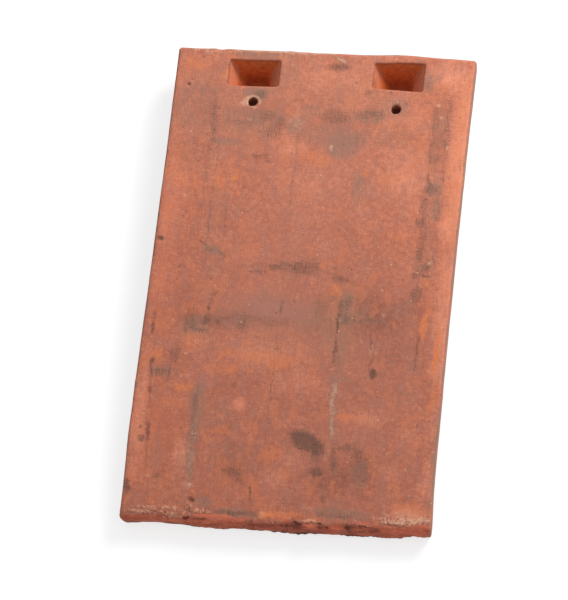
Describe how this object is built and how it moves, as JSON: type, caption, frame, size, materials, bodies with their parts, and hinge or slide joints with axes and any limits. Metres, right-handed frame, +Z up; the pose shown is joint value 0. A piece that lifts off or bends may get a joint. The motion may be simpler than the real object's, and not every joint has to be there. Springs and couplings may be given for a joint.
{
  "type": "clay roof tile",
  "caption": "Cambered plain clay roof tile, rectangular, with a rolled tail, nail holes and pressed nibs under its head that hook over a batten.",
  "frame": {"origin": "on the ground, under the middle of the tile as it lies unheld on its nibs and its tail", "axes": "+X across the tile, +Y along it towards its head, where the nibs are, +Z up, out of the weather face"},
  "size_m": [0.1648, 0.2642, 0.0247],
  "materials": {
    "fired_clay": "unglazed, weathered and stained"
  },
  "bodies": {
    "root": {"clay_tile": "fired_clay"}
  },
  "joints": []
}
